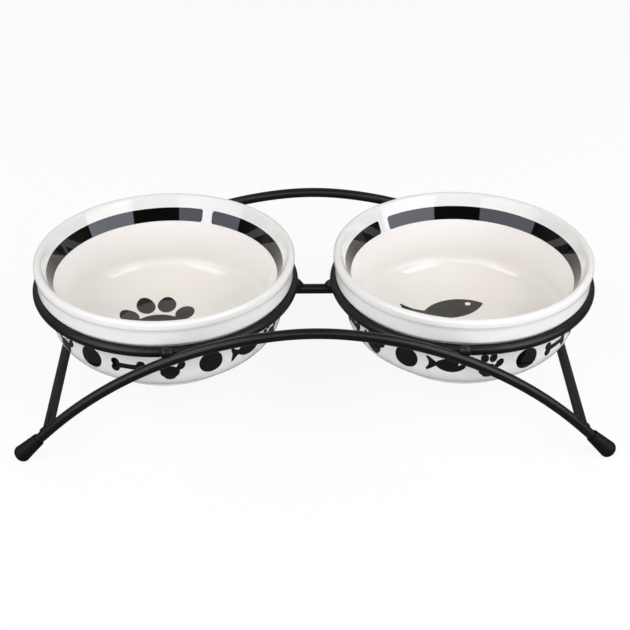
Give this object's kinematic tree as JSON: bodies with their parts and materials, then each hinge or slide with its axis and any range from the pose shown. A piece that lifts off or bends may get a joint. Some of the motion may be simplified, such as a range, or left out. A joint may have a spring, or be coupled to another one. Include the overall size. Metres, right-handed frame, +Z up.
{
  "type": "double pet bowl",
  "caption": "Double pet bowl: glazed stoneware bowls with rolled lips that rest in the rings of an arched black wire stand with rubber feet and lift straight out.",
  "frame": {"origin": "on the floor under the middle of the stand", "axes": "+X along the stand from the left bowl to the right bowl, +Z up, -Y the front"},
  "size_m": [0.3372, 0.17, 0.0864],
  "materials": {
    "glazed_stoneware": "white gloss glaze, warm cream inside, with a black glaze band under the lip",
    "powder_coat": "black satin powder coat on steel wire",
    "rubber": "black moulded rubber, slightly satin"
  },
  "bodies": {
    "stand": {"left_ring": "powder_coat", "right_ring": "powder_coat", "front_arch": "powder_coat", "rear_arch": "powder_coat", "ring_bridge": "powder_coat", "left_side_bar": "powder_coat", "right_side_bar": "powder_coat", "front_left_cap": "rubber", "front_right_cap": "rubber", "rear_left_cap": "rubber", "rear_right_cap": "rubber", "front_left_ring_weld": "powder_coat", "front_right_ring_weld": "powder_coat", "rear_left_ring_weld": "powder_coat", "rear_right_ring_weld": "powder_coat", "left_bridge_weld": "powder_coat", "right_bridge_weld": "powder_coat", "front_left_bar_weld": "powder_coat", "front_right_bar_weld": "powder_coat", "rear_left_bar_weld": "powder_coat", "rear_right_bar_weld": "powder_coat"},
    "left_bowl": {"left_bowl": "glazed_stoneware"},
    "right_bowl": {"right_bowl": "glazed_stoneware"}
  },
  "joints": [
    {"name": "left_bowl_lift", "type": "slide", "parent": "stand", "child": "left_bowl", "axis": [0, 0, 1], "range_m": [0, 0.075]},
    {"name": "right_bowl_lift", "type": "slide", "parent": "stand", "child": "right_bowl", "axis": [0, 0, 1], "range_m": [0, 0.075]}
  ]
}
